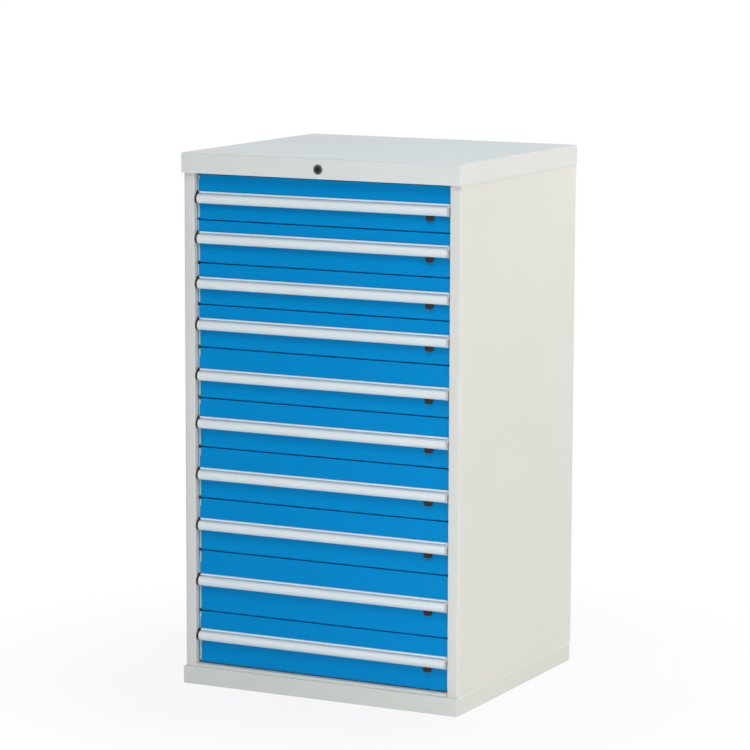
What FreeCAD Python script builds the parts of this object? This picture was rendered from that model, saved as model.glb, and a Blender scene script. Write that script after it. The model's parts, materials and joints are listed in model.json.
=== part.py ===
import FreeCAD, Part
import math
import os
from collections import namedtuple

# Tool cabinet: a folded steel body on a plinth, with ten full-width drawers on
# telescopic slides, a safety catch in each drawer and a central lock in the cap.
# Millimetres. +X is right, -Y is the front, +Z is up. The origin is on the
# floor in the middle of the footprint.

V = FreeCAD.Vector

# Cabinet, outside
cabinet_width = 684.0  # across the cap and the plinth
cabinet_depth = 620.0  # cap, front to rear
side_overhang = 1.5  # cap and plinth beyond the side panels
rear_overhang = 2.0  # cap beyond the rear of the body
front_overhang = 8.0  # cap and plinth beyond the posts
cap_height = 45.0
plinth_height = 40.0
plinth_rear_inset = 8.0  # plinth short of the rear of the body
cap_sheet = 1.5
plinth_sheet = 2.0
edge_fold = 1.6  # small flat along the folded edges of the cap and the plinth
cap_lip_depth = 26.0  # hem under the front skirt, over the top drawer

# Body
body_sheet = 1.5
body_corner = 6.0  # outside radius of the tall folded corners
post_width = 27.0
post_return = 15.0
return_bend = 2.5
rear_flange = 20.0
rear_panel_return = 14.0
sill_height = 6.0
sill_depth = 40.0
sill_sheet = 2.0
floor_flange = 30.0  # plinth flange that lies on the floor
bolt_side_inset = 20.0  # floor bolts from the sides of the plinth
bolt_end_inset = 60.0  # and from its front and rear
bolt_hole_radius = 7.0

# Uprights inside
upright_width = 45.0
upright_front_setback = 22.0  # behind the posts
upright_rear_setback = 40.0  # ahead of the rear of the body
slot_pitch = 150.0
slot_height = 20.0
slot_width = 6.0

# Drawers, top to bottom: height of each front with its gap, and the distance
# from the top of that zone to the top of the handle
drawer_pitches = [102.0, 96.0, 93.0, 96.0, 114.0, 111.0, 116.0, 119.0, 139.0, 119.0]
handle_drops = [40.0, 27.0, 32.0, 31.0, 49.0, 43.0, 48.0, 47.0, 55.0, 42.0]
top_reveal = 1.0  # cap down to the first drawer zone
bottom_reveal = 3.0  # last drawer zone down to the sill
front_gap = 2.5  # between two drawer fronts
front_recess = 13.0  # drawer fronts behind the posts
side_clearance = 1.5  # tray flange and handle to the posts
front_sheet = 1.5
front_edge_inset = 6.5  # blue front short of the post opening
ear_height = 26.0  # wide band of the blue front above its handle
front_return = 10.0  # top and bottom folds of the front
front_return_inset = 6.0

# Handle, an extruded grip; reaches are measured out from the drawer front and
# drops down from the handle's top
handle_height = 26.0
handle_reach = 16.0  # to the nose
handle_wall = 2.0
handle_back_drop = 9.0  # foot of the leg that lies on the drawer front
handle_lip_reach = 4.5
handle_lip_round = 1.2
handle_lip_slope = 0.6
groove_drop = 6.0
groove_width = 1.6
groove_depth = 1.5
shoulder_reach = 6.5
crown_drop = 15.0
crown_back = 0.9  # crown short of the nose, so that the curve bulges to it
tip_back = 2.0  # lower edge of the grip, back from the nose
handle_cap = 3.5  # thickness of an end cap
handle_cap_stand = 0.4  # end cap proud of the grip
handle_cap_foot = 8.0  # end cap's back corner above the foot of the handle
handle_side_clearance = 2.0

# Tray
slide_space = 24.0  # from the upright to the tray, each side
tray_sheet = 1.5
tray_floor_rise = 8.0  # tray floor above the foot of its zone
tray_top_drop = 13.0  # tray rim below the top of its zone
tray_rear_clearance = 45.5  # tray ahead of the rear sheet, for the lock bar
tray_front_cavity = 14.5  # hollow behind the blue front
tray_rim = 7.0
flange_margin = 3.0  # tray flange short of the front, top and bottom
tray_slot_pitch = 160.0
tray_slot_margin = 30.0
tray_slot_width = 3.0
tray_slot_height = 24.0
tray_slot_top = 6.0  # slot below the rim

# Telescopic slide
slide_setback = 22.0  # slide behind the blue front
slide_rear_margin = 2.5  # slide short of the rear of the rear uprights
slide_below_handle = 40.0  # handle top down to the middle of the slide
rail_sheet = 2.0
fixed_rail_height = 40.0
fixed_rail_depth = 13.0
fixed_rail_lip = 5.0
drawer_rail_height = 26.0
drawer_rail_depth = 9.0
mid_flange = 2.8
mid_web = 5.0
slide_play = 0.3

# Safety catch
catch_inset = 51.0  # middle of the tab from the side of the opening
catch_tab_width = 19.0
catch_tab_sheet = 2.5
catch_tab_drop = 12.0  # tab below the handle
catch_tab_stand = 7.5  # front of the tab from the drawer front
catch_bar_radius = 2.5
catch_bar_below = 16.0  # handle top down to the bar
catch_bar_behind = 8.0  # drawer front back to the bar
catch_play = 0.08  # bar in its notches
catch_window_play = 1.5
catch_arm_height = 4.8
catch_hook_width = 6.0
catch_hook_reach = 20.0
catch_hook_tip = 4.0
catch_hook_play = 0.4
catch_ear_offset = 12.0  # inner ear from the tab
catch_ear_sheet = 3.0

# Central lock
lock_drop = 24.0  # cabinet top down to the lock axis
lock_barrel = 15.0  # square barrel, side to side
lock_flange_radius = 10.5
lock_flange = 1.5
lock_case_length = 22.0
rotor_radius = 6.5
rotor_play = 0.05
rotor_face = 0.5  # rotor ahead of its case
key_slot_width = 1.6
key_slot_height = 7.0
key_slot_depth = 6.0
cam_base_radius = 7.5
cam_lift = 8.0
cam_turn = 90.0
cam_thickness = 4.0
cam_run_out = 12.0  # degrees of cam beyond each end of the turn
cam_edge_rise = 0.8  # cam under the edge of the arm, above its base radius
bar_play = 0.3
bar_sheet = 3.0
bar_width = 14.0
bar_arm_height = 4.0
bar_behind_tray = 26.0
lip_width = 24.0
lip_reach = 12.0
lip_drop = 10.0
hook_height = 10.0
hook_width = 3.5
hook_arm = 6.0
hook_below_lip = 2.0
guide_block = 8.0
guide_height = 30.0
guide_heights = (220.0, 960.0)

# Places that follow from the sizes above
cabinet_height = plinth_height + sill_height + bottom_reveal + sum(drawer_pitches) + top_reveal + cap_height
cap_front = -cabinet_depth / 2
cap_rear = cabinet_depth / 2
cap_side = cabinet_width / 2
cap_bottom = cabinet_height - cap_height
body_side = cap_side - side_overhang
body_front = cap_front + front_overhang
body_rear = cap_rear - rear_overhang
body_top = cabinet_height - cap_sheet
opening_side = body_side - post_width
catch_position = opening_side - catch_inset
front_face = body_front + front_recess
front_back = front_face + front_sheet
tray_side = opening_side - slide_space
tray_front = front_back
tray_wall_front = front_face + tray_front_cavity
rear_panel_front = body_rear - 2 * body_sheet
tray_rear = rear_panel_front - tray_rear_clearance
slide_front = front_back + slide_setback
slide_rear = body_rear - upright_rear_setback - slide_rear_margin
drawers_top = cap_bottom - top_reveal
lock_axis = cabinet_height - lock_drop
case_rear = cap_front + lock_case_length
cam_front = case_rear + bar_play
cam_rear = cam_front + cam_thickness
catch_bar_y = front_face + catch_bar_behind
bar_front = tray_rear + bar_behind_tray


Zone = namedtuple("Zone", "number foot top handle_top rim")


def drawer_zones():
    """The heights of each drawer, from the top down."""
    zones = []
    top = drawers_top
    for number, (pitch, drop) in enumerate(zip(drawer_pitches, handle_drops), 1):
        zones.append(Zone(number, top - pitch, top, top - drop, top - tray_top_drop))
        top -= pitch
    return zones


def block(x0, x1, y0, y1, z0, z1):
    return Part.makeBox(x1 - x0, y1 - y0, z1 - z0, V(x0, y0, z0))


def place(plane, a, b, c):
    """A point of a drawing plane, at height c above it."""
    if plane == "XY":
        return V(a, b, c)
    if plane == "YZ":
        return V(c, a, b)
    return V(a, c, b)


def outline(corners, plane, level):
    """A closed wire through corners (a, b) or (a, b, radius)."""
    points = [(c[0], c[1]) for c in corners]
    radii = [c[2] if len(c) > 2 else 0.0 for c in corners]
    count = len(points)
    ends = []
    for i, (a, b) in enumerate(points):
        before, after = points[i - 1], points[(i + 1) % count]
        d0 = math.dist((a, b), before)
        d1 = math.dist((a, b), after)
        u0 = ((before[0] - a) / d0, (before[1] - b) / d0)
        u1 = ((after[0] - a) / d1, (after[1] - b) / d1)
        if radii[i] <= 0:
            ends.append(((a, b), None, (a, b)))
            continue
        half = math.acos(u0[0] * u1[0] + u0[1] * u1[1]) / 2
        run = radii[i] / math.tan(half)
        bisector = (u0[0] + u1[0], u0[1] + u1[1])
        size = math.hypot(*bisector)
        depth = radii[i] / math.sin(half) - radii[i]
        middle = (a + bisector[0] / size * depth, b + bisector[1] / size * depth)
        ends.append(((a + u0[0] * run, b + u0[1] * run), middle, (a + u1[0] * run, b + u1[1] * run)))
    edges = []
    for i, (start, middle, end) in enumerate(ends):
        if middle:
            arc = Part.Arc(place(plane, *start, level), place(plane, *middle, level), place(plane, *end, level))
            edges.append(arc.toShape())
        following = ends[(i + 1) % count][0]
        if math.dist(end, following) > 1e-6:
            line = Part.LineSegment(place(plane, *end, level), place(plane, *following, level))
            edges.append(line.toShape())
    return Part.Wire(edges)


def prism(corners, plane, low, high):
    """The outline drawn in a plane and extruded square to it, from low to high."""
    face = Part.Face(outline(corners, plane, low))
    return face.extrude(place(plane, 0, 0, high - low))


def disc(x, z, radius, y0, y1):
    return Part.makeCylinder(radius, y1 - y0, V(x, y0, z), V(0, 1, 0))


def rod(y, z, radius, x0, x1):
    return Part.makeCylinder(radius, x1 - x0, V(x0, y, z), V(1, 0, 0))


def mirrored(shape):
    return shape.mirror(V(0, 0, 0), V(1, 0, 0))


def both_sides(shape):
    return [shape, mirrored(shape)]


def fuse(first, *others):
    return first.fuse(list(others)).removeSplitter()


def save(name, *solids):
    shape = solids[0] if len(solids) == 1 else Part.makeCompound(list(solids))
    shape.exportStep(os.path.join("parts", name + ".step"))


def folded_block(x0, x1, y0, y1, z0, z1):
    """A block whose upright and top edges are broken like folded sheet."""
    solid = block(x0, x1, y0, y1, z0, z1)
    edges = [e for e in solid.Edges if max(v.Point.z for v in e.Vertexes) > z0 + 1e-6]
    return solid.makeChamfer(edge_fold, edges)


def side_panel():
    """Right side panel, its front post and its rear flange in one folded sheet."""
    outer = body_corner
    t = body_sheet
    front, rear, side, mouth = body_front, body_rear, body_side, opening_side
    sheet = [
        (side - rear_flange, rear),
        (side, rear, return_bend),
        (side, front, outer),
        (mouth, front, return_bend),
        (mouth, front + post_return),
        (mouth + t, front + post_return),
        (mouth + t, front + t),
        (side - t, front + t, outer - t),
        (side - t, rear - t),
        (side - rear_flange, rear - t),
    ]
    return prism(sheet, "XY", plinth_height, body_top)


def rear_panel():
    """Rear sheet with top and bottom folds, and the guides of the lock bar."""
    side = body_side - body_sheet - body_corner
    rear = body_rear - body_sheet
    low, high = plinth_height, body_top
    sheet = [
        (rear, low),
        (rear, high),
        (rear - rear_panel_return, high),
        (rear - rear_panel_return, high - body_sheet),
        (rear_panel_front, high - body_sheet),
        (rear_panel_front, low + body_sheet),
        (rear - rear_panel_return, low + body_sheet),
        (rear - rear_panel_return, low),
    ]
    solids = [prism(sheet, "YZ", -side, side)]
    gap = bar_sheet / 2 + bar_play
    for z in guide_heights:
        guide = block(gap, gap + guide_block, bar_front, rear_panel_front, z, z + guide_height)
        solids += both_sides(guide)
    return solids


def top_cap():
    """Lid with a deep skirt, hemmed at the front over the drawers."""
    t = cap_sheet
    shell = folded_block(-cap_side, cap_side, cap_front, cap_rear, cap_bottom, cabinet_height)
    inside = block(t - cap_side, cap_side - t, cap_front + t, cap_rear - t, cap_bottom - 1, cabinet_height - t)
    lip_side = opening_side - bar_play
    hem = [
        (t - cap_side, cap_front + t),
        (cap_side - t, cap_front + t),
        (cap_side - t, body_front),
        (lip_side, body_front),
        (lip_side, cap_front + cap_lip_depth),
        (-lip_side, cap_front + cap_lip_depth),
        (-lip_side, body_front),
        (t - cap_side, body_front),
    ]
    cap = fuse(shell.cut(inside), prism(hem, "XY", cap_bottom, cap_bottom + t))
    half = lock_barrel / 2
    return cap.cut(block(-half, half, cap_front - 1, cap_front + t + 1, lock_axis - half, lock_axis + half))


def base_plinth():
    """Plinth ring with floor flanges, the pan over it, and the sill under the drawers."""
    t = plinth_sheet
    rear = body_rear - plinth_rear_inset
    shell = folded_block(-cap_side, cap_side, cap_front, rear, 0, plinth_height)
    hollow = block(t - cap_side, cap_side - t, cap_front + t, rear - t, t, plinth_height - t)
    flange = t + floor_flange
    mouth = block(flange - cap_side, cap_side - flange, cap_front + flange, rear - flange, -1, t + 1)
    sill = [
        (body_front, plinth_height),
        (body_front, plinth_height + sill_height - edge_fold),
        (body_front + edge_fold, plinth_height + sill_height),
        (body_front + sill_depth, plinth_height + sill_height),
        (body_front + sill_depth, plinth_height),
        (body_front + sill_depth - sill_sheet, plinth_height),
        (body_front + sill_depth - sill_sheet, plinth_height + sill_height - sill_sheet),
        (body_front + sill_sheet, plinth_height + sill_height - sill_sheet),
        (body_front + sill_sheet, plinth_height),
    ]
    sill_side = opening_side - bar_play
    holes = []
    for x in (bolt_side_inset - cap_side, cap_side - bolt_side_inset):
        for y in (cap_front + bolt_end_inset, rear - bolt_end_inset):
            holes.append(Part.makeCylinder(bolt_hole_radius, t + 2, V(x, y, -1)))
    return [shell.cut([hollow, mouth] + holes), prism(sill, "YZ", -sill_side, sill_side)]


def slide_uprights():
    """Four perforated channels that carry the slides."""
    t = body_sheet
    back = body_side - body_sheet
    face = opening_side
    y = body_front + upright_front_setback
    channel = [
        (back, y),
        (face, y),
        (face, y + upright_width),
        (back, y + upright_width),
        (back, y + upright_width - t),
        (face + t, y + upright_width - t),
        (face + t, y + t),
        (back, y + t),
    ]
    upright = prism(channel, "XY", plinth_height, body_top)
    middle = y + upright_width / 2
    slots = []
    z = plinth_height + slot_pitch
    while z < body_top - slot_pitch:
        slots.append(block(face - 1, face + t + 1, middle - slot_width / 2, middle + slot_width / 2, z, z + slot_height))
        z += slot_pitch
    front = upright.cut(slots)
    rear = front.copy()
    rear.translate(V(0, body_rear - upright_rear_setback - upright_width - y, 0))
    return both_sides(front) + both_sides(rear)


def fixed_rail(middle):
    """Lipped channel on the uprights, open towards the drawer."""
    face, end = opening_side, opening_side - fixed_rail_depth
    web, lip = face - rail_sheet, end + rail_sheet
    h = fixed_rail_height / 2
    section = [
        (face, middle - h),
        (face, middle + h),
        (end, middle + h),
        (end, middle + h - fixed_rail_lip),
        (lip, middle + h - fixed_rail_lip),
        (lip, middle + h - rail_sheet),
        (web, middle + h - rail_sheet),
        (web, middle - h + rail_sheet),
        (lip, middle - h + rail_sheet),
        (lip, middle - h + fixed_rail_lip),
        (end, middle - h + fixed_rail_lip),
        (end, middle - h),
    ]
    return prism(section, "XZ", slide_front, slide_rear)


def drawer_rail(middle):
    """Plain channel on the side of the tray, open towards the upright."""
    face, end = tray_side, tray_side + drawer_rail_depth
    web = face + rail_sheet
    h = drawer_rail_height / 2
    section = [
        (face, middle - h),
        (face, middle + h),
        (end, middle + h),
        (end, middle + h - rail_sheet),
        (web, middle + h - rail_sheet),
        (web, middle - h + rail_sheet),
        (end, middle - h + rail_sheet),
        (end, middle - h),
    ]
    return prism(section, "XZ", slide_front, slide_rear)


def mid_rail(middle):
    """I-shaped member that runs in the fixed rail and carries the drawer rail."""
    outer = opening_side - rail_sheet - slide_play
    inner = tray_side + rail_sheet + slide_play
    tall = fixed_rail_height / 2 - rail_sheet - slide_play
    short = drawer_rail_height / 2 - rail_sheet - slide_play
    w = mid_web / 2
    section = [
        (outer, middle - tall),
        (outer, middle + tall),
        (outer - mid_flange, middle + tall),
        (outer - mid_flange, middle + w),
        (inner + mid_flange, middle + w),
        (inner + mid_flange, middle + short),
        (inner, middle + short),
        (inner, middle - short),
        (inner + mid_flange, middle - short),
        (inner + mid_flange, middle - w),
        (outer - mid_flange, middle - w),
        (outer - mid_flange, middle - tall),
    ]
    return prism(section, "XZ", slide_front, slide_rear)


def tray(zone):
    """Open tray with flanges that reach out to the posts behind the blue front."""
    t = tray_sheet
    floor = zone.foot + tray_floor_rise
    rim = zone.rim
    side = tray_side
    walls = block(-side, side, tray_front, tray_rear, floor, rim)
    hollow = block(t - side, side - t, tray_wall_front + t, tray_rear - t, floor + t, rim - t)
    mouth = block(tray_rim - side, side - tray_rim, tray_wall_front + t, tray_rear - tray_rim, floor + t, rim + 1)
    pocket = block(t - side, side - t, tray_front - 1, tray_wall_front, floor - 1, rim + 1)
    flange = block(
        side - t,
        opening_side - side_clearance,
        tray_front,
        tray_front + t,
        zone.foot + flange_margin,
        zone.top - front_gap - flange_margin,
    )
    slots = []
    y = tray_wall_front + tray_slot_margin
    slot_high = rim - tray_slot_top
    while y < tray_rear - tray_slot_margin:
        slots.append(block(-side - 1, side + 1, y, y + tray_slot_width, slot_high - tray_slot_height, slot_high))
        y += tray_slot_pitch
    body = walls.cut([hollow, mouth, pocket] + slots)
    bar_z = zone.handle_top - catch_bar_below
    ear = catch_position - catch_tab_width / 2 - catch_ear_offset
    grip = catch_bar_radius + tray_sheet
    inner_ear = block(ear, ear + catch_ear_sheet, catch_bar_y - grip, tray_wall_front, bar_z - grip, bar_z + grip)
    body = fuse(body, *both_sides(flange), inner_ear)
    return body.cut([bar_notch(ear - 1, ear + catch_ear_sheet + 1, bar_z), bar_notch(side - t - 1, side + 1, bar_z)])


def bar_notch(x0, x1, bar_z):
    """Notch, open to the front, in which the bar of the catch turns."""
    reach = catch_bar_radius + catch_play
    return block(x0, x1, tray_front - 1, catch_bar_y + reach, bar_z - reach, bar_z + reach)


def rear_lip(rim):
    """Strap behind the tray with its down-turned end, which the lock bar hooks."""
    half = lip_width / 2
    end = tray_rear + lip_reach
    strap = block(-half, half, tray_rear, end, rim - tray_sheet, rim)
    turned = block(-half, half, end - tray_sheet, end, rim - lip_drop, rim - tray_sheet)
    return [strap, turned]


def drawer_front(zone):
    """Blue front: a flat sheet, wide behind the handle and narrower elsewhere."""
    low = zone.foot
    high = zone.top - front_gap
    wide = opening_side - side_clearance
    narrow = opening_side - front_edge_inset
    ear_low = zone.handle_top - handle_back_drop
    ear_high = min(zone.handle_top + ear_height, high)
    right = [
        (narrow, low),
        (narrow, ear_low),
        (wide, ear_low),
        (wide, ear_high),
        (narrow, ear_high),
        (narrow, high),
    ]
    left = [(-x, z) for x, z in reversed(right)]
    if ear_high >= high:
        right = right[:4]
        left = left[2:]
    sheet = prism(right + left, "XZ", front_face, front_back)
    fold_side = tray_side - tray_sheet - front_return_inset
    folds = []
    for z in (low, high - front_sheet):
        folds.append(block(-fold_side, fold_side, front_back, front_face + front_return, z, z + front_sheet))
    bar_z = zone.handle_top - catch_bar_below
    reach = catch_arm_height / 2 + catch_window_play
    half = catch_tab_width / 2 + catch_window_play
    window = block(
        catch_position - half,
        catch_position + half,
        front_face - 1,
        front_back + 1,
        bar_z - reach - catch_window_play,
        bar_z + reach,
    )
    return fuse(sheet, *folds).cut(window)


def handle(handle_top):
    """Hooked grip with a label groove, and a black cap on each end."""

    def at(reach, drop):
        return V(0, front_face - reach, handle_top - drop)

    shoulder = at(shoulder_reach, groove_drop + groove_width)
    crown = at(handle_reach - crown_back, crown_drop)
    tip = at(handle_reach - tip_back, handle_height)
    leg = [
        at(handle_lip_reach - groove_depth, handle_back_drop),
        at(0, handle_back_drop),
        at(0, 0),
        at(handle_lip_reach - handle_lip_round, 0),
        at(handle_lip_reach, handle_lip_round),
        at(handle_lip_reach + handle_lip_slope, groove_drop),
        at(handle_lip_reach - groove_depth, groove_drop),
        at(handle_lip_reach - groove_depth, groove_drop + groove_width),
        shoulder,
    ]
    inner = [
        tip,
        at(handle_reach - tip_back - handle_wall, handle_height),
        at(handle_reach - crown_back - handle_wall, crown_drop + handle_wall),
        leg[0],
    ]
    edges = [Part.LineSegment(a, b).toShape() for a, b in zip(leg, leg[1:])]
    edges.append(Part.Arc(shoulder, crown, tip).toShape())
    edges += [Part.LineSegment(a, b).toShape() for a, b in zip(inner, inner[1:])]
    half = opening_side - handle_side_clearance - handle_cap
    section = Part.Face(Part.Wire(edges))
    section.translate(V(-half, 0, 0))
    grip = section.extrude(V(2 * half, 0, 0))
    stand = handle_cap_stand
    outside = [
        (front_face, handle_top + stand),
        (front_face - handle_lip_reach - stand, handle_top + stand),
        (front_face - shoulder_reach - stand, handle_top - groove_drop),
        (front_face - handle_reach, handle_top - crown_drop),
        (front_face - handle_reach, handle_top - crown_drop - groove_drop),
        (front_face - handle_reach + tip_back, handle_top - handle_height - stand),
        (front_face - handle_reach + tip_back + handle_wall, handle_top - handle_height - stand),
        (front_face, handle_top - handle_height + handle_cap_foot),
    ]
    cap = prism(outside, "YZ", half, half + handle_cap)
    return [grip] + both_sides(cap)


def catch(handle_top, rail_top):
    """Thumb tab under the handle, its bar, and the hook over the fixed rail."""
    y = catch_bar_y
    z = handle_top - catch_bar_below
    inner = catch_position - catch_tab_width / 2
    outer = catch_position + catch_tab_width / 2
    hook_x = opening_side - fixed_rail_depth + rail_sheet
    bar = rod(y, z, catch_bar_radius, inner - catch_ear_offset, hook_x + catch_hook_width)
    tab_front = front_face - catch_tab_stand
    half = catch_arm_height / 2
    foot = handle_top - handle_height - catch_tab_drop
    tab = [
        (y, z + half),
        (tab_front, z + half),
        (tab_front, foot),
        (tab_front + catch_tab_sheet, foot),
        (tab_front + catch_tab_sheet, z - half),
        (y, z - half),
    ]
    tip = y + catch_hook_reach
    low = rail_top + catch_hook_play
    hook = [
        (y, z + half),
        (tip, z + half),
        (tip, low),
        (tip - catch_hook_tip, low),
        (tip - catch_hook_tip, z - half),
        (y, z - half),
    ]
    return fuse(bar, prism(tab, "YZ", inner, outer), prism(hook, "YZ", hook_x, hook_x + catch_hook_width))


def lock_case():
    """Fixed square barrel of the lock, with a round flange on the cap."""
    flange = disc(0, lock_axis, lock_flange_radius, cap_front - lock_flange, cap_front)
    half = lock_barrel / 2
    barrel = block(-half, half, cap_front, case_rear, lock_axis - half, lock_axis + half)
    bore = disc(0, lock_axis, rotor_radius + rotor_play, cap_front - lock_flange - 1, case_rear + 1)
    return fuse(flange, barrel).cut(bore)


def lock_rotor():
    """Rotor with its key slot and the spiral cam that lifts the bar evenly."""
    front = cap_front - lock_flange - rotor_face
    plug = disc(0, lock_axis, rotor_radius, front, cam_front)
    slot = block(
        -key_slot_width / 2,
        key_slot_width / 2,
        front - 1,
        front + key_slot_depth,
        lock_axis - key_slot_height / 2,
        lock_axis + key_slot_height / 2,
    )
    rate = cam_lift / cam_turn
    curve = []
    steps = 12
    first, last = -cam_run_out, cam_turn + cam_run_out
    for i in range(steps + 1):
        angle = first + (last - first) * i / steps
        radius = cam_base_radius + rate * angle
        turn = math.radians(angle)
        curve.append(V(-radius * math.sin(turn), cam_front, lock_axis + radius * math.cos(turn)))
    spiral = Part.BSplineCurve()
    spiral.interpolate(curve)
    centre = V(0, cam_front, lock_axis)
    turn = math.radians(first + (last - first) / 2 + 180)
    heel = centre + V(-math.sin(turn), 0, math.cos(turn)) * (cam_base_radius - rate * cam_run_out)
    back = Part.Arc(curve[-1], heel, curve[0]).toShape()
    cam = Part.Face(Part.Wire([spiral.toShape(), back])).extrude(V(0, cam_thickness, 0))
    return fuse(plug.cut(slot), cam)


def lock_bar(zones):
    """Flat bar behind the drawers with a hook for each, and the arm over the cam."""
    rear = bar_front + bar_width
    low = zones[-1].foot + tray_floor_rise
    arm_low = lock_axis + cam_base_radius + cam_edge_rise + bar_play
    arm_high = arm_low + bar_arm_height
    half = bar_sheet / 2
    solids = [
        block(-half, half, bar_front, rear, low, arm_high),
        block(-half, half, cam_front, bar_front, arm_low, arm_high),
    ]
    tooth = tray_rear + lip_reach - tray_sheet - 2 * hook_width
    for zone in zones:
        point = zone.rim - lip_drop - hook_below_lip
        ledge = point - hook_height
        solids.append(block(-half, half, tooth, bar_front, ledge - hook_arm, ledge))
        solids.append(block(-half, half, tooth, tooth + hook_width, ledge, point))
    return solids


def main():
    os.makedirs("parts", exist_ok=True)
    panel = side_panel()
    save("right_side_panel", panel)
    save("left_side_panel", mirrored(panel))
    save("rear_panel", *rear_panel())
    save("top_cap", top_cap())
    save("base_plinth", *base_plinth())
    save("slide_uprights", *slide_uprights())
    save("lock_case", lock_case())
    save("lock_rotor", lock_rotor())
    zones = drawer_zones()
    save("lock_bar", *lock_bar(zones))
    fixed = []
    for zone in zones:
        name = "drawer_%02d_" % zone.number
        middle = zone.handle_top - slide_below_handle
        fixed += both_sides(fixed_rail(middle))
        save(name + "box", tray(zone), *rear_lip(zone.rim), *both_sides(drawer_rail(middle)))
        save(name + "front", drawer_front(zone))
        save(name + "handle", *handle(zone.handle_top))
        save(name + "catch", catch(zone.handle_top, middle + fixed_rail_height / 2))
        save(name + "mid_rails", *both_sides(mid_rail(middle)))
    save("cabinet_rails", *fixed)


main()
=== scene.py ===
import json
import math

import bmesh
import bpy
from mathutils import Matrix, Vector


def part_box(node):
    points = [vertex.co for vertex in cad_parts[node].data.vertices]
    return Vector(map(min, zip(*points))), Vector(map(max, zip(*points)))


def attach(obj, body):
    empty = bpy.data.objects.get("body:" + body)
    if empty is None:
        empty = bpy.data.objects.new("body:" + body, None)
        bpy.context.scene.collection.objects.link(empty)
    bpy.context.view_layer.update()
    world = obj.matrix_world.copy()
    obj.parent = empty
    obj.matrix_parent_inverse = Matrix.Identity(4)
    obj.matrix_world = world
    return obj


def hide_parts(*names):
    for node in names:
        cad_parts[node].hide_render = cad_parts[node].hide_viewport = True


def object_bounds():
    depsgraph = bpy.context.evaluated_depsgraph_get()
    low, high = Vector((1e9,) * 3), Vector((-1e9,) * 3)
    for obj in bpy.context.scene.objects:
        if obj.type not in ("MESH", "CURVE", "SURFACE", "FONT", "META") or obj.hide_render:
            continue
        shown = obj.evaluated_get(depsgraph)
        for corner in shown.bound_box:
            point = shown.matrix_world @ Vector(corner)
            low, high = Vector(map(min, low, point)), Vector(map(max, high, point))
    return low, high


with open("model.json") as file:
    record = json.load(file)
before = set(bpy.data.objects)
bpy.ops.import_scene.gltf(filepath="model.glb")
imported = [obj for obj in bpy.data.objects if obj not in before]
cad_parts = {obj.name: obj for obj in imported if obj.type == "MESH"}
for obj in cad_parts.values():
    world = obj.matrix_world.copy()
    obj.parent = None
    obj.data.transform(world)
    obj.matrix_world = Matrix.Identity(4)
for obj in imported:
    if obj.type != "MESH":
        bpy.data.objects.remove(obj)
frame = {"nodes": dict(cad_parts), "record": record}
cad_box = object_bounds()

# Tool cabinet: a grey powder-coated body with blue drawer fronts, satin
# aluminium grips, dark plastic catches and a small round lock.
# Metres; +X right, -Y front, +Z up.

FRONT = "_front"
DRAWERS = [node.removesuffix(FRONT) for node in sorted(frame["nodes"]) if node.endswith(FRONT)]

# Colours as linear light
CAP_GREY = (0.715, 0.735, 0.715)
BODY_GREY = (0.675, 0.68, 0.645)
PLINTH_GREY = (0.65, 0.67, 0.635)
DRAWER_BLUE = (0.0006, 0.245, 0.590)
TRAY_GREY = (0.40, 0.52, 0.56)
GRIP_ALUMINIUM = (0.68, 0.74, 0.765)
ZINC = (0.55, 0.56, 0.57)
CATCH_BLACK = (0.018, 0.011, 0.009)
# End cap colours, one kind of cap coloured by its side: near-black at the left end as painted shade,
# pale grey at the right end as painted light
END_SHADE_BLACK = (0.008, 0.009, 0.011)
END_LIT_GREY = (0.52, 0.57, 0.59)
LOCK_DARK = (0.10, 0.10, 0.095)
ROTOR_STEEL = (0.030, 0.030, 0.028)

# Noise scale of each metal along X, Y and Z, lowest along its drawn lines
GRIP_LINES = (6.0, 1400.0, 1400.0)
SLIDE_LINES = (900.0, 5.0, 900.0)
UPRIGHT_LINES = (700.0, 700.0, 5.0)
BAR_LINES = (900.0, 900.0, 5.0)
ROTOR_LINES = (900.0, 30.0, 900.0)
LOCK_GRAIN = (300.0, 300.0, 300.0)

# Noise values at which a varied colour reaches its two ends
NOISE_LOW = 0.3
NOISE_HIGH = 0.7

# Radii of the rounded edges, and the steps across one
PANEL_ROUND = 0.0005
FRONT_ROUND = 0.0005
CAP_ROUND = 0.0007
PLINTH_ROUND = 0.0007
CATCH_ROUND = 0.0003
GRIP_ROUND = 0.0003
END_ROUND = 0.0005
FEW_STEPS = 2
MORE_STEPS = 3

# Least turn in degrees that is an edge: of a sheet, and of the grip's section
FOLD_ANGLE = 30.0
GRIP_ANGLE = 28.0

# Points this near are one, places this near are level, and faces that turn
# by fewer degrees are one
WELD = 1e-6
TOUCH = 1e-5
FLAT_ANGLE = 1.0

# Grip profile: reach out from the drawer front and drop below the grip's top
GRIP_WALL = 0.0020
LIP_REACH = 0.0045
LIP_ROUND = 0.0012
LIP_SLOPE = 0.0006
GROOVE_DROP = 0.0034
GROOVE_WIDTH = 0.0015
GROOVE_DEPTH = 0.0030
SHOULDER_REACH = 0.0065
CROWN_DROP = 0.0128
CROWN_BACK = 0.0009
TIP_BACK = 0.0052
BACK_DROP = 0.0090
GRIP_HEIGHT = 0.0260
GRIP_REACH = 0.0160

# Share of the lip's radius that its middle stays back from the corner, and
# the points on the lip and on the nose
LIP_CUT = 0.3
LIP_POINTS = 5
NOSE_POINTS = 17

# End caps: their length, how far they stand proud and the room that this
# takes above the grip, then the places of three corners, which are above the
# grip's crown, below it, and above its lower edge
END_CAP = 0.0050
END_STAND = 0.0003
END_ROOM = 0.0004
END_CROWN_RISE = 0.0010
END_NOSE_DROP = 0.0060
END_BACK_RISE = 0.0080

# Grey edge that shows beside each blue front
FRONT_EDGE = 0.0025

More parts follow.
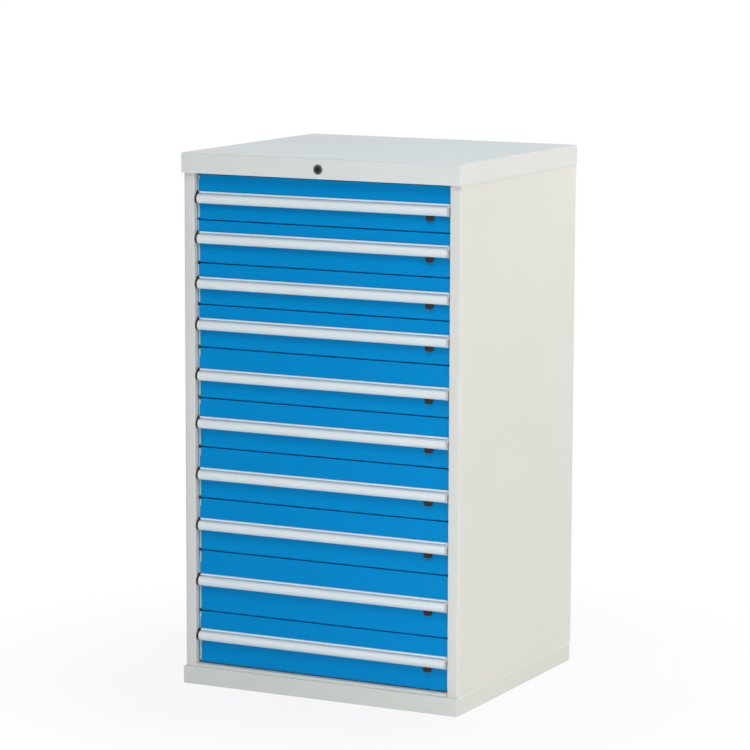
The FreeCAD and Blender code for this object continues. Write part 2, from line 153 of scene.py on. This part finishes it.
# Finger tab of a catch: the depth in which its sheet lies, the radius of its
# lower corners and the steps across one
TAB_SHEET = 0.0030
TAB_ROUND = 0.0045
TAB_STEPS = 4

# Camera, from the cabinet's corners in the photograph
CAMERA_AT = (3.3802, -6.7161, 1.8108)
CAMERA_AZIMUTH = 26.83
CAMERA_DOWN = 8.51
CAMERA_ROLL = 0.196
CAMERA_LENS = 161.0
CAMERA_SENSOR = 36.0
CAMERA_REACH = 100.0

# Lamps: place, aim, size, watts and colour
MIDDLE = (0.0, 0.0, 0.6)
FILL_SIZE = (3.2, 2.8)
FILL_TINT = (1.0, 0.97, 0.95)
LAMPS = {
    "right_light": ((4.6, 1.7, 2.3), MIDDLE, (3.4, 2.8), 134.0, (1.0, 0.955, 0.88)),
    "front_light": ((1.0, -2.6, 0.2), (0.0, -0.3, -0.4), (2.2, 0.9), 38.0, (0.98, 0.965, 0.95)),
    "high_light": ((0.9, -2.6, 3.9), (0.0, -0.3, 0.9), (2.4, 1.4), 74.0, (0.94, 0.965, 0.985)),
    "top_light": ((0.0, 1.6, 4.4), (0.0, 0.0, 1.2), (2.4, 1.6), 37.0, (0.70, 0.83, 1.0)),
    "left_fill": ((-4.4, 1.7, 2.0), MIDDLE, FILL_SIZE, 82.0, FILL_TINT),
    "back_fill": ((0.6, 4.7, 2.0), MIDDLE, FILL_SIZE, 75.0, FILL_TINT),
}

# Room and floor: their colours, half the floor's width, its gap below the
# cabinet, and the share of white in it near the cabinet, which grows to all
# between two radii
WHITE = (1.0, 1.0, 1.0, 1.0)
ROOM_TINT = (0.90, 0.97, 1.0, 1.0)
ROOM_STRENGTH = 0.15
FLOOR_GREY = (0.80, 0.80, 0.80, 1.0)
FLOOR_HALF = 14.0
FLOOR_GAP = 0.0005
NEAR_WHITE = 0.84
NEAR_RADIUS = 0.45
WHITE_RADIUS = 1.2


def shader_of(tree):
    return tree.nodes["Principled BSDF"]


def set_inputs(node, **values):
    """Sets a shader node's inputs, with _ for each space in their names."""
    for key, value in values.items():
        node.inputs[key.replace("_", " ")].default_value = value


def add_node(tree, kind, **values):
    node = tree.nodes.new(kind)
    set_inputs(node, **values)
    return node


def new_material(name, colour, roughness, metallic=0.0, specular=0.5):
    material = bpy.data.materials.new(name)
    material.use_nodes = True
    set_inputs(
        shader_of(material.node_tree),
        Base_Color=(*colour, 1.0),
        Roughness=roughness,
        Metallic=metallic,
        Specular_IOR_Level=specular,
    )
    return material


def grain(tree, scale, stretch=(1.0, 1.0, 1.0), detail=2.0):
    """Noise over the piece's own coordinates, stretched along its axes."""
    place = add_node(tree, "ShaderNodeTexCoord")
    mapping = add_node(tree, "ShaderNodeMapping", Scale=stretch)
    noise = add_node(tree, "ShaderNodeTexNoise", Scale=scale, Detail=detail)
    tree.links.new(place.outputs["Object"], mapping.inputs["Vector"])
    tree.links.new(mapping.outputs["Vector"], noise.inputs["Vector"])
    return noise.outputs["Fac"]


def vary_colour(tree, factor, colour, low, high):
    """Base colour between two shares of the colour, by the factor."""
    ramp = add_node(tree, "ShaderNodeValToRGB")
    ends = ((NOISE_LOW, low), (NOISE_HIGH, high))
    for element, (position, share) in zip(ramp.color_ramp.elements, ends):
        element.position = position
        element.color = (*[share * c for c in colour], 1.0)
    tree.links.new(factor, ramp.inputs["Fac"])
    tree.links.new(ramp.outputs["Color"], shader_of(tree).inputs["Base Color"])


def vary_roughness(tree, factor, roughness, spread):
    """Roughness within a spread either side of its middle, by the factor."""
    low, high = roughness - spread, roughness + spread
    values = add_node(tree, "ShaderNodeMapRange", To_Min=low, To_Max=high)
    tree.links.new(factor, values.inputs["Value"])
    tree.links.new(values.outputs["Result"], shader_of(tree).inputs["Roughness"])


def add_bump(tree, factor, depth, strength):
    bump = add_node(tree, "ShaderNodeBump", Strength=strength, Distance=depth)
    tree.links.new(factor, bump.inputs["Height"])
    tree.links.new(bump.outputs["Normal"], shader_of(tree).inputs["Normal"])


def powder_coat(name, colour, roughness, specular):
    """Baked paint: even colour with a faint cloudiness and a fine orange-peel skin."""
    material = new_material(name, colour, roughness, specular=specular)
    tree = material.node_tree
    cloud = grain(tree, scale=2.6, detail=3.0)
    vary_colour(tree, cloud, colour, low=0.985, high=1.015)
    vary_roughness(tree, cloud, roughness, spread=0.03)
    peel = grain(tree, scale=420.0)
    add_bump(tree, peel, depth=0.00006, strength=0.35)
    return material


def drawn_metal(name, colour, roughness, lines, metallic=1.0):
    """Metal with fine lines along its length."""
    material = new_material(name, colour, roughness, metallic=metallic)
    tree = material.node_tree
    streaks = grain(tree, scale=1.0, stretch=lines, detail=3.0)
    vary_colour(tree, streaks, colour, low=0.94, high=1.04)
    vary_roughness(tree, streaks, roughness, spread=0.06)
    add_bump(tree, streaks, depth=0.00003, strength=0.3)
    return material


def moulded_plastic(name, colour, roughness):
    """Plastic with the fine speckle of a spark-eroded mould."""
    material = new_material(name, colour, roughness, specular=0.25)
    tree = material.node_tree
    speckle = grain(tree, scale=900.0)
    vary_colour(tree, speckle, colour, low=0.92, high=1.08)
    add_bump(tree, speckle, depth=0.00005, strength=0.5)
    return material


# Finishes: maker, colour and roughness, then the specular level of a paint,
# or a metal's lines and how metallic it is, where that isn't fully
FINISHES = {
    "cap_paint": (powder_coat, CAP_GREY, 0.65, 0.08),
    "body_paint": (powder_coat, BODY_GREY, 0.50, 0.3),
    "plinth_paint": (powder_coat, PLINTH_GREY, 0.50, 0.3),
    "front_paint": (powder_coat, DRAWER_BLUE, 0.45, 0.05),
    "tray_paint": (powder_coat, TRAY_GREY, 0.50, 0.3),
    "grip_aluminium": (drawn_metal, GRIP_ALUMINIUM, 0.42, GRIP_LINES, 0.35),
    "slide_steel": (drawn_metal, ZINC, 0.35, SLIDE_LINES),
    "upright_steel": (drawn_metal, ZINC, 0.42, UPRIGHT_LINES),
    "bar_steel": (drawn_metal, ZINC, 0.38, BAR_LINES),
    "catch_plastic": (moulded_plastic, CATCH_BLACK, 0.45),
    # End caps: the left one painted near-black as painted shade, the right one painted pale as
    # painted light
    "grip_ends": (moulded_plastic, END_SHADE_BLACK, 0.40),
    "grip_end_pale": (moulded_plastic, END_LIT_GREY, 0.40),
    "lock_chrome": (drawn_metal, LOCK_DARK, 0.30, LOCK_GRAIN),
    "lock_rotor": (drawn_metal, ROTOR_STEEL, 0.30, ROTOR_LINES),
}
MATERIALS = {name: make(name, *values) for name, (make, *values) in FINISHES.items()}


def paint(obj, finish):
    obj.data.materials.clear()
    obj.data.materials.append(MATERIALS[finish])


def add_piece(name, body, mesh):
    piece = bpy.data.objects.new(name, mesh)
    bpy.context.scene.collection.objects.link(piece)
    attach(piece, body)
    return piece


def smooth_by_angle(mesh, degrees):
    """Smooth faces, with a sharp edge wherever the mesh turns by more."""
    limit = math.radians(degrees)
    work = bmesh.new()
    work.from_mesh(mesh)
    for face in work.faces:
        face.smooth = True
    for edge in work.edges:
        edge.smooth = len(edge.link_faces) == 2 and edge.calc_face_angle(0.0) < limit
    work.to_mesh(mesh)
    work.free()


def round_edges(piece, radius, steps, degrees):
    """A bevel on each edge where the mesh turns by more."""
    bevel = piece.modifiers.new("edge", "BEVEL")
    bevel.width = radius
    bevel.segments = steps
    bevel.limit_method = "ANGLE"
    bevel.angle_limit = math.radians(degrees)
    bevel.harden_normals = True


def folded_copy(node, body, slot, radius, steps=MORE_STEPS):
    """The node again with its sheet edges rounded, as folded and painted metal is."""
    work = bmesh.new()
    work.from_mesh(frame["nodes"][node].data)
    bmesh.ops.remove_doubles(work, verts=work.verts, dist=WELD)
    flat = math.radians(FLAT_ANGLE)
    bmesh.ops.dissolve_limit(work, angle_limit=flat, verts=work.verts, edges=work.edges)
    mesh = bpy.data.meshes.new(node + "_folded")
    work.to_mesh(mesh)
    work.free()
    piece = add_piece(node + "_folded", body, mesh)
    round_edges(piece, radius, steps, FOLD_ANGLE)
    smooth_by_angle(mesh, FOLD_ANGLE)
    paint(piece, slot)
    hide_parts(node)
    return piece


def plain_lock_hole(piece):
    """Keeps the cap's square lock hole sharp, so that the lock's flange covers its corners."""
    low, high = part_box("lock_case")
    work = bmesh.new()
    work.from_mesh(piece.data)
    weight = work.edges.layers.float.new("bevel_weight_edge")
    for edge in work.edges:
        turn = edge.calc_face_angle(0.0) if len(edge.link_faces) == 2 else 0.0
        middle = (edge.verts[0].co + edge.verts[1].co) / 2
        in_hole = low.x < middle.x < high.x and low.z < middle.z < high.z
        edge[weight] = float(turn > math.radians(FOLD_ANGLE) and not in_hole)
    work.to_mesh(piece.data)
    work.free()
    piece.modifiers["edge"].limit_method = "WEIGHT"


def grey_edges(piece):
    """Leaves the outer strip at both sides of a front in the tray's grey."""
    mesh = piece.data
    grey = len(mesh.materials)
    mesh.materials.append(MATERIALS["tray_paint"])
    sides = [v.co.x for v in mesh.vertices]
    left, right = min(sides) + FRONT_EDGE, max(sides) - FRONT_EDGE
    work = bmesh.new()
    work.from_mesh(mesh)
    for x in (left, right):
        everything = work.verts[:] + work.edges[:] + work.faces[:]
        bmesh.ops.bisect_plane(
            work, geom=everything, dist=WELD, plane_co=(x, 0.0, 0.0), plane_no=(1.0, 0.0, 0.0)
        )
    for face in work.faces:
        middle = face.calc_center_median().x
        if middle < left or middle > right:
            face.material_index = grey
    work.to_mesh(mesh)
    work.free()


def rounded_catch(drawer):
    """The catch again, with the lower corners of its finger tab rounded."""
    catch = drawer.replace("drawer", "catch")
    piece = folded_copy(drawer + "_catch", catch, "catch_plastic", CATCH_ROUND, FEW_STEPS)
    work = bmesh.new()
    work.from_mesh(piece.data)
    front = min(v.co.y for v in work.verts)
    foot = min(v.co.z for v in work.verts if v.co.y < front + TOUCH)
    corners = []
    for edge in work.edges:
        a, b = (v.co for v in edge.verts)
        low = max(a.z, b.z) < foot + TOUCH and max(a.y, b.y) < front + TAB_SHEET
        if low and abs(a.x - b.x) < TOUCH:
            corners.append(edge)
    bmesh.ops.bevel(
        work,
        geom=corners,
        offset=TAB_ROUND,
        offset_type="OFFSET",
        segments=TAB_STEPS,
        profile=0.5,
        affect="EDGES",
    )
    work.to_mesh(piece.data)
    work.free()
    smooth_by_angle(piece.data, FOLD_ANGLE)


def arc_points(start, through, end, count):
    """Points of the circle through three places, from the start to the end."""
    (ax, ay), (bx, by), (cx, cy) = start, through, end
    d = 2 * (ax * (by - cy) + bx * (cy - ay) + cx * (ay - by))
    a2, b2, c2 = ax * ax + ay * ay, bx * bx + by * by, cx * cx + cy * cy
    ux = (a2 * (by - cy) + b2 * (cy - ay) + c2 * (ay - by)) / d
    uy = (a2 * (cx - bx) + b2 * (ax - cx) + c2 * (bx - ax)) / d
    radius = math.hypot(ax - ux, ay - uy)
    first = math.atan2(ay - uy, ax - ux)
    last = math.atan2(cy - uy, cx - ux)
    turn = (last - first + math.pi) % (2 * math.pi) - math.pi
    angles = [first + turn * i / (count - 1) for i in range(count)]
    return [(ux + radius * math.cos(a), uy + radius * math.sin(a)) for a in angles]


def grip_outline():
    """Closed section of the grip as (reach, drop), from the foot of its leg and round the nose."""
    slot_back = LIP_REACH - GROOVE_DEPTH
    shoulder = (SHOULDER_REACH, GROOVE_DROP + GROOVE_WIDTH)
    crown = (GRIP_REACH - CROWN_BACK, CROWN_DROP)
    tip = (GRIP_REACH - TIP_BACK, GRIP_HEIGHT)
    lip_start = (LIP_REACH - LIP_ROUND, 0.0)
    lip_middle = (LIP_REACH - LIP_ROUND * LIP_CUT, LIP_ROUND * LIP_CUT)
    lip_end = (LIP_REACH, LIP_ROUND)
    points = [(slot_back, BACK_DROP), (0.0, BACK_DROP), (0.0, 0.0)]
    points += arc_points(lip_start, lip_middle, lip_end, LIP_POINTS)
    points += [
        (LIP_REACH + LIP_SLOPE, GROOVE_DROP),
        (slot_back, GROOVE_DROP),
        (slot_back, GROOVE_DROP + GROOVE_WIDTH),
    ]
    points += arc_points(shoulder, crown, tip, NOSE_POINTS)
    inner_tip = (tip[0] - GRIP_WALL, GRIP_HEIGHT)
    inner_crown = (crown[0] - GRIP_WALL, CROWN_DROP + GRIP_WALL)
    return points + [inner_tip, inner_crown]


def end_outline():
    """Section of an end cap, a little proud of the grip all round."""
    tip_reach = GRIP_REACH - TIP_BACK
    tip_drop = GRIP_HEIGHT + END_STAND
    return [
        (0.0, -END_STAND),
        (LIP_REACH, -END_STAND),
        (LIP_REACH + END_STAND, 0.0),
        (SHOULDER_REACH + END_STAND, GROOVE_DROP),
        (GRIP_REACH - CROWN_BACK, CROWN_DROP - END_CROWN_RISE),
        (GRIP_REACH, CROWN_DROP + END_NOSE_DROP),
        (tip_reach, tip_drop),
        (tip_reach - GRIP_WALL, tip_drop),
        (0.0, GRIP_HEIGHT - END_BACK_RISE),
    ]


def extrude_section(name, section, front, top, x0, x1):
    """A solid with the given section between two places along X."""
    work = bmesh.new()
    rings = []
    for x in (x0, x1):
        rings.append([work.verts.new((x, front - reach, top - drop)) for reach, drop in section])
    count = len(section)
    for i in range(count):
        j = (i + 1) % count
        work.faces.new((rings[0][i], rings[0][j], rings[1][j], rings[1][i]))
    work.faces.new(rings[0][::-1])
    work.faces.new(rings[1])
    bmesh.ops.recalc_face_normals(work, faces=work.faces)
    mesh = bpy.data.meshes.new(name)
    work.to_mesh(mesh)
    work.free()
    return mesh


def handle_length(drawer, ending, section, ends, radius, steps):
    """A length of the drawer's handle between two places along X."""
    node = drawer + "_handle"
    low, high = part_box(node)
    mesh = extrude_section(node + ending, section, high.y, high.z - END_ROOM, *ends)
    smooth_by_angle(mesh, GRIP_ANGLE)
    piece = add_piece(node + ending, drawer, mesh)
    round_edges(piece, radius, steps, GRIP_ANGLE)
    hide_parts(node)
    return piece


def dress_handle(drawer):
    """Satin grip with its groove, and moulded end caps: black at the left end as painted shade, pale
    at the right end as painted light.
    """
    low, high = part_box(drawer + "_handle")
    left, right = low.x + END_CAP, high.x - END_CAP
    ends = (left, right)
    slot = "grip_aluminium"
    grip = handle_length(drawer, "_grip", grip_outline(), ends, GRIP_ROUND, FEW_STEPS)
    paint(grip, slot)
    # Left cap painted black as painted shade, right cap painted pale as painted light
    caps = (
        ("_end_left", (low.x, left), "grip_ends"),
        ("_end_right", (right, high.x), "grip_end_pale"),
    )
    slot = "catch_plastic"
    for ending, ends, finish in caps:
        cap = handle_length(drawer, ending, end_outline(), ends, END_ROUND, MORE_STEPS)
        paint(cap, finish)


def dress_nodes():
    """Every CAD node in the finish of its slot, also where a piece replaces it later."""
    slots = {row["node"]: row["material_slot"] for row in frame["record"]["subparts"]}
    for node, obj in frame["nodes"].items():
        paint(obj, slots[node])
        smooth_by_angle(obj.data, FOLD_ANGLE)


def add_camera():
    """Looks along its azimuth and downwards, with a little roll."""
    azimuth, down, roll = (math.radians(a) for a in (CAMERA_AZIMUTH, CAMERA_DOWN, CAMERA_ROLL))
    level = math.cos(down)
    ahead = Vector((-math.sin(azimuth) * level, math.cos(azimuth) * level, -math.sin(down)))
    right = Vector((math.cos(azimuth), math.sin(azimuth), 0.0))
    up = right.cross(ahead)
    across = right * math.cos(roll) + up * math.sin(roll)
    upward = up * math.cos(roll) - right * math.sin(roll)
    data = bpy.data.cameras.new("camera")
    data.lens = CAMERA_LENS
    data.sensor_width = CAMERA_SENSOR
    data.clip_end = CAMERA_REACH
    camera = bpy.data.objects.new("camera", data)
    turn = Matrix((across, upward, -ahead)).transposed()
    camera.matrix_world = Matrix.Translation(CAMERA_AT) @ turn.to_4x4()
    bpy.context.scene.collection.objects.link(camera)
    bpy.context.scene.camera = camera


def add_lamp(name, at, aim, size, watts, colour):
    data = bpy.data.lights.new(name, "AREA")
    data.shape = "RECTANGLE"
    data.size, data.size_y = size
    data.energy = watts
    data.color = colour
    lamp = bpy.data.objects.new(name, data)
    lamp.location = at
    lamp.rotation_euler = (Vector(aim) - Vector(at)).to_track_quat("-Z", "Y").to_euler()
    bpy.context.scene.collection.objects.link(lamp)


def light_path_white(tree, lit, shown):
    """Camera, mirror and glass rays meet the shown shader, and all others the lit one."""
    path = add_node(tree, "ShaderNodeLightPath")
    seen = path.outputs["Is Camera Ray"]
    for ray in ("Is Glossy Ray", "Is Transmission Ray"):
        either = add_node(tree, "ShaderNodeMath")
        either.operation = "MAXIMUM"
        tree.links.new(seen, either.inputs[0])
        tree.links.new(path.outputs[ray], either.inputs[1])
        seen = either.outputs[0]
    mix = add_node(tree, "ShaderNodeMixShader")
    tree.links.new(seen, mix.inputs[0])
    tree.links.new(lit, mix.inputs[1])
    tree.links.new(shown, mix.inputs[2])
    return mix.outputs[0]


def add_world():
    """Faint cool room light, and a white backdrop."""
    world = bpy.data.worlds.new("studio")
    world.use_nodes = True
    tree = world.node_tree
    room = tree.nodes["Background"]
    set_inputs(room, Color=ROOM_TINT, Strength=ROOM_STRENGTH)
    white = add_node(tree, "ShaderNodeBackground", Color=WHITE, Strength=1.0)
    mix = light_path_white(tree, room.outputs[0], white.outputs[0])
    tree.links.new(mix, tree.nodes["World Output"].inputs["Surface"])
    bpy.context.scene.world = world


def floor_material():
    """Matt grey to the light, and to the eye nearly white with the cabinet's soft shadow."""
    material = bpy.data.materials.new("floor")
    material.use_nodes = True
    tree = material.node_tree
    tree.nodes.remove(shader_of(tree))
    matt = add_node(tree, "ShaderNodeBsdfDiffuse", Color=FLOOR_GREY)
    glow = add_node(tree, "ShaderNodeEmission", Color=WHITE, Strength=1.0)
    blend = add_node(tree, "ShaderNodeMixShader")
    place = add_node(tree, "ShaderNodeTexCoord")
    distance = add_node(tree, "ShaderNodeVectorMath")
    distance.operation = "LENGTH"
    fade = add_node(
        tree, "ShaderNodeMapRange", From_Min=NEAR_RADIUS, From_Max=WHITE_RADIUS, To_Min=NEAR_WHITE
    )
    fade.interpolation_type = "SMOOTHSTEP"
    tree.links.new(place.outputs["Object"], distance.inputs[0])
    tree.links.new(distance.outputs["Value"], fade.inputs["Value"])
    tree.links.new(fade.outputs["Result"], blend.inputs[0])
    tree.links.new(matt.outputs[0], blend.inputs[1])
    tree.links.new(glow.outputs[0], blend.inputs[2])
    mix = light_path_white(tree, matt.outputs[0], blend.outputs[0])
    tree.links.new(mix, tree.nodes["Material Output"].inputs["Surface"])
    return material


def add_floor():
    work = bmesh.new()
    bmesh.ops.create_grid(work, x_segments=1, y_segments=1, size=FLOOR_HALF)
    mesh = bpy.data.meshes.new("floor")
    work.to_mesh(mesh)
    work.free()
    floor = bpy.data.objects.new("floor", mesh)
    floor.location = (0.0, 0.0, cad_box[0].z - FLOOR_GAP)
    bpy.context.scene.collection.objects.link(floor)
    mesh.materials.append(floor_material())


dress_nodes()
for panel in ("left_side_panel", "right_side_panel"):
    folded_copy(panel, "cabinet", "body_paint", PANEL_ROUND)
plain_lock_hole(folded_copy("top_cap", "cabinet", "cap_paint", CAP_ROUND))
folded_copy("base_plinth", "cabinet", "plinth_paint", PLINTH_ROUND)
for drawer in DRAWERS:
    grey_edges(folded_copy(drawer + FRONT, drawer, "front_paint", FRONT_ROUND, FEW_STEPS))
    dress_handle(drawer)
    rounded_catch(drawer)
add_camera()
add_world()
for lamp, values in LAMPS.items():
    add_lamp(lamp, *values)
add_floor()

bpy.context.scene.view_settings.view_transform = "Standard"
